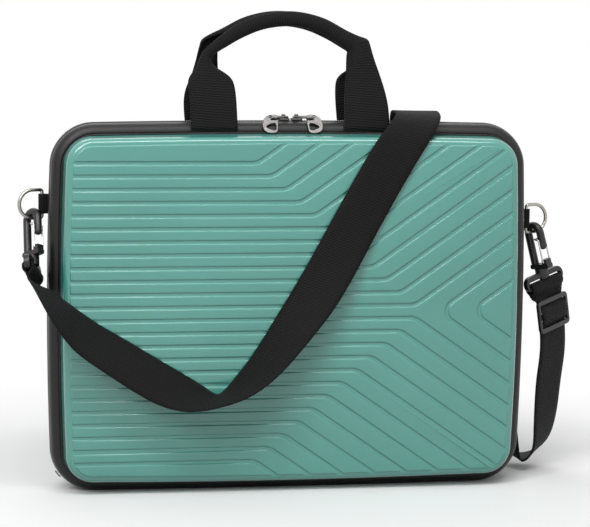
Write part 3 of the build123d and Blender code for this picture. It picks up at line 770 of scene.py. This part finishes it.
def throughSlide():
    # behind both rims of the strap slider and in front of its middle bar
    lift = slideForm["thickness"] / 2 + strapForm["gap"] + strapForm["thickness"] / 2
    bar = slideForm["bar"] / 2 + 0.0002
    rim = slideForm["bar"] / 2 + slideForm["slot"] - 0.0002
    clear = slideForm["height"] / 2 + 0.004
    places = [(-clear, -lift), (-rim, -lift), (-bar, lift), (bar, lift), (rim, -lift)]
    places.append((slideForm["height"] / 2, -lift))
    return [placeIn(slideFrame(), 0, y, z) for y, z in places]


def makeStrapTurn(word):
    # the strap's sewn end, once round the lower bar of the loop
    bend = strapForm["gap"] + strapForm["thickness"] / 2
    pinch = strapForm["thickness"] / 2
    lift = loopForm["thickness"] / 2 + bend
    barTop = -loopForm["slotDrop"] - loopForm["slot"] / 2
    barLow = -loopForm["height"] / 2
    over = barTop + bend
    low = barLow - strapForm["gap"] - strapForm["tail"] - strapForm["thickness"]
    loop = [(low, pinch), (low + 0.002, pinch), (barLow - 0.0002, lift),
            (barTop - 0.001, lift + 0.0004), (over + 0.0006, lift)]
    loop += [(over + 0.0009, 0)] + [(y, -z) for y, z in reversed(loop)]
    route = [placeIn(loopFrame(word), 0, y, z) for y, z in loop]
    makeBand(word + "StrapTurn", route, strapForm["width"], strapForm["thickness"], webbing,
             "strap_turn_" + word)


def makeStrap():
    route = [strapStart("left", 0), strapStart("left", 0.003)] + strapFront + strapBehind
    route += throughSlide() + [strapStart("right", 0.0015), strapStart("right", 0)]
    makeBand("shoulderStrap", route, strapForm["width"], strapForm["thickness"], webbing,
             "shoulder_strap")
    for word in ("left", "right"):
        makeStrapTurn(word)


makeStrap()
print("strap made")

# One handle, seen from its own front: folded into the grip at its left leg, and turning the
# corner flat at its right leg. Heights are above the foot; the other handle is turned half round.
handleForm = {
    "width": 0.0378, "thickness": 0.0018, "gripHalf": 0.0053, "gripDepth": 0.0036,
    "wrap": 0.93,                 # share of a full turn that the grip's edges reach
    "squeeze": 1.5,
    # how far the grip leans to the flat corner's side, from its foot to the lean height
    "lean": {"front": 0.0, "back": 0.0095}, "leanHeight": 0.06, "leanStart": 0.15,
    # how much more the flat corner's leg is folded, past this x and height
    "fold": {"front": 0.0, "back": 0.22}, "foldFrom": (0.05, 0.04),
    "foot": joints["handle_front"]["pos_m"],
    "route": [
        # along x, height, distance in front of the zip line, across (x, height), roll
        (-0.0632, 0.0000, 0.0161, (1.0, 0.0), 0.00),
        (-0.0636, 0.0150, 0.0150, (1.0, 0.0), 0.00),
        (-0.0650, 0.0340, 0.0126, (1.0, 0.02), 0.00),
        (-0.0672, 0.0420, 0.0117, (1.0, 0.05), 0.05),
        (-0.0690, 0.0500, 0.0108, (0.98, 0.00), 0.60),
        (-0.0706, 0.0575, 0.0098, (0.93, -0.30), 1.25),
        (-0.0680, 0.0625, 0.0092, (0.80, -0.60), 1.45),
        (-0.0570, 0.0705, 0.0084, (0.64, -0.77), 1.15),
        (-0.0430, 0.0800, 0.0076, (0.52, -0.85), 1.00),
        (-0.0232, 0.0884, 0.0076, (0.28, -0.96), 1.00),
        (0.0018, 0.0912, 0.0076, (0.0, -1.0), 1.00),
        (0.0251, 0.0862, 0.0076, (-0.32, -0.95), 1.00),
        (0.0400, 0.0775, 0.0080, (-0.55, -0.84), 0.95),
        (0.0500, 0.0718, 0.0086, (-0.62, -0.78), 0.80),
        (0.0556, 0.0686, 0.0090, (-0.80, -0.60), 0.52),
        (0.0560, 0.0670, 0.0093, (-0.90, -0.44), 0.50),
        (0.0574, 0.0570, 0.0102, (-0.98, -0.18), 0.42),
        (0.0598, 0.0440, 0.0112, (-1.0, -0.05), 0.26),
        (0.0615, 0.0300, 0.0128, (-1.0, 0.0), 0.10),
        (0.0628, 0.0150, 0.0148, (-1.0, 0.0), 0.02),
        (0.0628, 0.0000, 0.0161, (-1.0, 0.0), 0.00),
    ],
}


def rolledSection(share, roll):
    # flat webbing that folds back into a pressed tube, in halves of the webbing's width;
    # over 1 the tube is squeezed narrower
    half = handleForm["width"] / 2 * max(roll, 1.0) ** handleForm["squeeze"]
    angle = share * pi * handleForm["wrap"]
    tube = Vector((handleForm["gripHalf"] * sin(angle), handleForm["gripDepth"] * (1 - cos(angle))))
    return Vector((share, 0.0)).lerp(tube / half, min(max(roll, 0.0), 1.0))


def makeHandle(half):
    side = -1 if half == "front" else 1
    foot = handleForm["foot"]
    foldX, foldHeight = handleForm["foldFrom"]
    route = []
    rolls = []
    for x, height, out, across, roll in handleForm["route"]:
        start = handleForm["leanStart"] if x > 0 else 0
        lean = min(start + height / handleForm["leanHeight"], 1.0) * handleForm["lean"][half]
        place = (foot[0] - side * (x + lean), side * out, foot[2] + height)
        route.append((place, (-side * across[0], 0, across[1])))
        folded = x > foldX and height > foldHeight
        rolls.append(roll + (handleForm["fold"][half] if folded else 0))
    makeBand(half + "Handle", route, handleForm["width"], handleForm["thickness"], webbing,
             "handle_" + half, columns=16, section=rolledSection, rolls=rolls)


for half in ("front", "back"):
    makeHandle(half)
print("handles made")


def dress(node, name, material, bevel=0.0):
    # the solid's own shape, cleaned and with its edges rounded
    bm = copyOf(node)
    bmesh.ops.dissolve_limit(bm, angle_limit=radians(0.4), verts=bm.verts, edges=bm.edges)
    piece = toPiece(bm, name, material, node)
    if bevel:
        addBevel(piece, bevel)


pullForm = {
    "length": 0.017, "plate": 0.0014, "drop": 0.0026, "hang": 0.0112, "slope": 32.0,
    "eye": 0.0015, "edge": 0.0003, "cut": (0.22, 0.78),
    # half widths outwards, and shares of the length down from the top
    "outline": [(-0.90, 0.04), (-0.30, 0.0), (0.45, 0.06), (0.90, 0.30), (1.04, 0.60), (0.88, 0.88),
                (0.30, 1.02), (-0.66, 1.0), (-0.80, 0.68), (-0.86, 0.32)],
    "window": [(-0.60, 0.40), (0.62, 0.62), (0.45, 0.76), (-0.58, 0.90)],
}


def cutCorners(points, times):
    # rounds a closed outline off by cutting each corner, over and over
    for k in range(times):
        points = [a.lerp(b, share) for a, b in zip(points, points[1:] + points[:1])
                  for share in pullForm["cut"]]
    return points


def makePullPlate(word):
    node = "pull_tab_" + word
    side = -1 if word == "left" else 1
    low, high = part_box(node)
    half = (high.x - low.x) / 2
    slope = radians(pullForm["slope"])
    upward = Vector((0, sin(slope), cos(slope)))
    facing = Vector((0, -cos(slope), sin(slope)))
    eyeLevel = joints["pull_" + word]["pos_m"][2]
    middle = Vector(((low.x + high.x) / 2, -pullForm["hang"], eyeLevel))
    origin = middle - facing * pullForm["plate"] / 2

    def loopOf(points, times):
        flat = [Vector((x * half, pullForm["drop"] - share * pullForm["length"]))
                for x, share in points]
        return cutCorners(flat, times)

    turns = [k * pi / 8 for k in range(16)]
    eye = [Vector((cos(turn), sin(turn))) * pullForm["eye"] for turn in turns]
    bm = bmesh.new()
    rims = []
    for loop in (loopOf(pullForm["outline"], 3), loopOf(pullForm["window"], 2), eye):
        verts = [bm.verts.new(origin + Vector((side * spot.x, 0, 0)) + upward * spot.y)
                 for spot in loop]
        rims += [bm.edges.new((a, b)) for a, b in zip(verts, verts[1:] + verts[:1])]
    bmesh.ops.triangle_fill(bm, edges=rims, use_beauty=True, use_dissolve=True, normal=facing)
    for face in bm.faces:
        face.normal_update()
        if face.normal.dot(facing) > 0:
            face.normal_flip()
    grown = bmesh.ops.extrude_face_region(bm, geom=list(bm.faces), use_keep_orig=True)["geom"]
    bmesh.ops.translate(bm, verts=itemsOf(bmesh.types.BMVert, grown),
                        vec=facing * pullForm["plate"])
    bmesh.ops.recalc_face_normals(bm, faces=bm.faces)
    addBevel(toPiece(bm, word + "PullPlate", nickel, node), pullForm["edge"])


fittings = {
    # node: name, material, width of its rounded edges
    "slider": ("Slider", nickel, 0.0003),
    "pull_bail": ("PullLink", nickel, 0.0),
    "d_ring": ("Ring", darkNickel, 0.0),
    "hook": ("Hook", fittingPlastic, 0.0005),
    "gate": ("HookGate", brightWire, 0.0),
    "strap_loop": ("StrapLoop", fittingPlastic, 0.0004),
    "zip_stop": ("ZipStop", nickel, 0.0002),
}
for word in ("left", "right"):
    for node, (name, material, bevel) in fittings.items():
        dress(node + "_" + word, word + name, material, bevel)
    makePullPlate(word)
dress("strap_slider", "strapSlider", fittingPlastic, 0.0003)
print("fittings made")

tabForm = {"height": 0.016, "thickness": 0.0011, "wrap": 0.0018}


def makeRingTab(word):
    # sewn flat together at the case, and once round the ring's straight bar
    side = -1 if word == "left" else 1
    bar = Vector(joints["ring_" + word]["pos_m"])
    wrap = tabForm["wrap"]
    loop = [(-0.0066, 0.0007), (-0.0045, 0.0009), (-0.0022, wrap - 0.0004), (0.0, wrap + 0.0006),
            (wrap + 0.0006, wrap)]
    loop += [(x, -y) for x, y in reversed(loop)]
    route = [(bar + Vector((side * x, y, 0)), (0, 0, 1)) for x, y in loop]
    makeBand(word + "RingTab", route, tabForm["height"], tabForm["thickness"], webbing,
             "ring_tab_" + word)


for word in ("left", "right"):
    makeRingTab(word)
print("ring tabs made")

inside = {
    "puff": 0.0022,               # how far the mesh stands off the lining
    "gather": 0.0005, "gathers": 95, "mesh": 0.0006, "sunk": 0.0004, "elastic": 0.0010,
    "gripEdge": 0.0005,
}


def puffAt(x, t):
    # x from -1 to 1 along the pocket, t from 0 at its foot to 1 at its top
    return inside["puff"] * (1 - x ** 8) * t * (1.15 - t * 0.6)


def makePocket():
    low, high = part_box("accessory_pocket")
    bm = bmesh.new()
    bmesh.ops.create_grid(bm, x_segments=90, y_segments=40, size=1)
    weave = bm.loops.layers.uv.new("UVMap")
    for vert in bm.verts:
        x, t = vert.co.x, (vert.co.y + 1) / 2
        gather = inside["gather"] * sin(x * inside["gathers"]) * t ** 4
        vert.co = Vector((x * (high.x - low.x) / 2, high.y - inside["sunk"] + puffAt(x, t) + gather,
                          low.z + t * (high.z - low.z)))
    for face in bm.faces:
        for loop in face.loops:
            loop[weave].uv = (loop.vert.co.x, loop.vert.co.z)
    bmesh.ops.reverse_faces(bm, faces=bm.faces)
    addSolidify(toPiece(bm, "meshPocket", meshCloth, "accessory_pocket"), inside["mesh"])
    low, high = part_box("pocket_elastic")
    level = (low.z + high.z) / 2
    shares = [x / 10 for x in range(-10, 11)]
    route = [((x * (high.x - low.x) / 2, high.y + puffAt(x, 1), level), (0, 0, 1)) for x in shares]
    makeBand("pocketElastic", route, high.z - low.z, inside["elastic"], elasticCloth,
             "pocket_elastic")


def makeLaptopBand(word):
    low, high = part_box("hold_strap_" + word)
    middle = (low + high) / 2
    route = [((low.x + (high.x - low.x) * k / 8, middle.y, middle.z), (0, 0, 1)) for k in range(9)]
    makeBand(word + "LaptopBand", route, high.z - low.z, high.y - low.y, elasticCloth,
             "hold_strap_" + word)


makePocket()
for word in ("left", "right"):
    makeLaptopBand(word)
dress("grip_tape", "gripTape", gripCloth, inside["gripEdge"])
print("inside made")

studio = {
    "target": (0.00532, 0.0, 0.18585), "azimuth": -9.60, "elevation": 7.39, "roll": 0.76,
    "distance": 1.9, "sensor": 36,
    "lens": 2292 / 590 * 36,      # focal length over the picture's width, both in pixels
    "sky": 0.42,
    "paper": 0.93,
    "bounce": 0.35,               # how pale the floor is to the light that it throws back
    "whiteFrom": 0.22, "whiteTo": 0.55,     # distance at which the floor turns plain white
    "lamps": [
        # place, aim, width, height, watts
        ((-1.0, -1.4, 1.35), (0, 0, 0.15), 0.8, 0.8, 15.5),
        ((1.3, -1.2, 0.9), (0, 0, 0.15), 0.9, 1.2, 1.5),
        ((-0.1, -1.0, 1.7), (0, 0, 0.15), 1.6, 0.25, 16.0),
        ((0.0, 1.3, 1.4), (0, 0, 0.15), 1.4, 0.8, 5.0),
    ],
}


def makeFloor():
    bm = bmesh.new()
    bmesh.ops.create_grid(bm, x_segments=1, y_segments=1, size=30)
    mesh = bpy.data.meshes.new("floor")
    bm.to_mesh(mesh)
    bm.free()
    floorPlane = bpy.data.objects.new("floor", mesh)
    scene.collection.objects.link(floorPlane)
    # the paper turns into plain white away from the object
    finish = Finish("floorPaper", [studio["paper"]] * 3, 0.9)
    finish.set("Specular IOR Level", 0.1)
    ray = finish.node("ShaderNodeLightPath")
    seen = finish.math("MAXIMUM", ray.outputs["Is Camera Ray"], ray.outputs["Is Glossy Ray"])
    pale = finish.spread(seen, 0.0, 1.0, To_Min=studio["bounce"], To_Max=studio["paper"])
    finish.colour(finish.node("ShaderNodeCombineColor", Red=pale, Green=pale, Blue=pale).outputs[0])
    reach = finish.node("ShaderNodeVectorMath", {"operation": "LENGTH"})
    finish.feed(reach, "0", finish.objectPlace())
    far = finish.node("ShaderNodeMapRange", {"interpolation_type": "SMOOTHSTEP"},
                      Value=reach.outputs["Value"],
                      From_Min=studio["whiteFrom"], From_Max=studio["whiteTo"])
    share = finish.math("MULTIPLY", far.outputs[0], seen)
    white = finish.node("ShaderNodeEmission", Strength=1.0)
    mix = finish.node("ShaderNodeMixShader", Fac=share)
    finish.feed(mix, "1", finish.shader.outputs[0])
    finish.feed(mix, "2", white.outputs[0])
    finish.feed(finish.tree.nodes["Material Output"], "Surface", mix.outputs[0])
    mesh.materials.append(finish.material)


def makeSky():
    # white where it is seen or mirrored, and plainer as a light
    sky = bpy.data.worlds.new("sky")
    scene.world = sky
    sky.use_nodes = True
    nodes, links = sky.node_tree.nodes, sky.node_tree.links
    back = nodes["Background"]
    back.inputs["Color"].default_value = (1, 1, 1, 1)
    ray = nodes.new("ShaderNodeLightPath")
    seen = nodes.new("ShaderNodeMath")
    seen.operation = "MAXIMUM"
    links.new(ray.outputs["Is Camera Ray"], seen.inputs[0])
    links.new(ray.outputs["Is Glossy Ray"], seen.inputs[1])
    level = nodes.new("ShaderNodeMapRange")
    level.inputs["To Min"].default_value = studio["sky"]
    level.inputs["To Max"].default_value = 1.0
    links.new(seen.outputs[0], level.inputs["Value"])
    links.new(level.outputs[0], back.inputs["Strength"])


def lookAt(place, aim, roll=0.0):
    # the place and turn of a lamp or camera that looks from place to aim
    back = (Vector(place) - Vector(aim)).normalized()
    right = Vector((0, 0, 1)).cross(back).normalized()
    up = back.cross(right)
    turn = radians(roll)
    rolledRight = right * cos(turn) + up * sin(turn)
    rolledUp = up * cos(turn) - right * sin(turn)
    turned = Matrix((rolledRight, rolledUp, back)).transposed().to_4x4()
    return Matrix.Translation(Vector(place)) @ turned


def makeStudio():
    for k, (place, aim, width, height, watts) in enumerate(studio["lamps"]):
        lamp = bpy.data.lights.new("lamp" + str(k), "AREA")
        lamp.shape = "RECTANGLE"
        lamp.size = width
        lamp.size_y = height
        lamp.energy = watts
        holder = bpy.data.objects.new("lamp" + str(k), lamp)
        scene.collection.objects.link(holder)
        holder.matrix_world = lookAt(place, aim)
    azimuth, elevation = radians(studio["azimuth"]), radians(studio["elevation"])
    back = Vector((sin(azimuth) * cos(elevation), -cos(azimuth) * cos(elevation), sin(elevation)))
    camera = bpy.data.cameras.new("camera")
    camera.lens = studio["lens"]
    camera.sensor_width = studio["sensor"]
    camera.clip_end = 100
    holder = bpy.data.objects.new("camera", camera)
    scene.collection.objects.link(holder)
    target = Vector(studio["target"])
    holder.matrix_world = lookAt(target + back * studio["distance"], target, studio["roll"])
    scene.camera = holder


makeFloor()
makeSky()
makeStudio()
print("studio made")
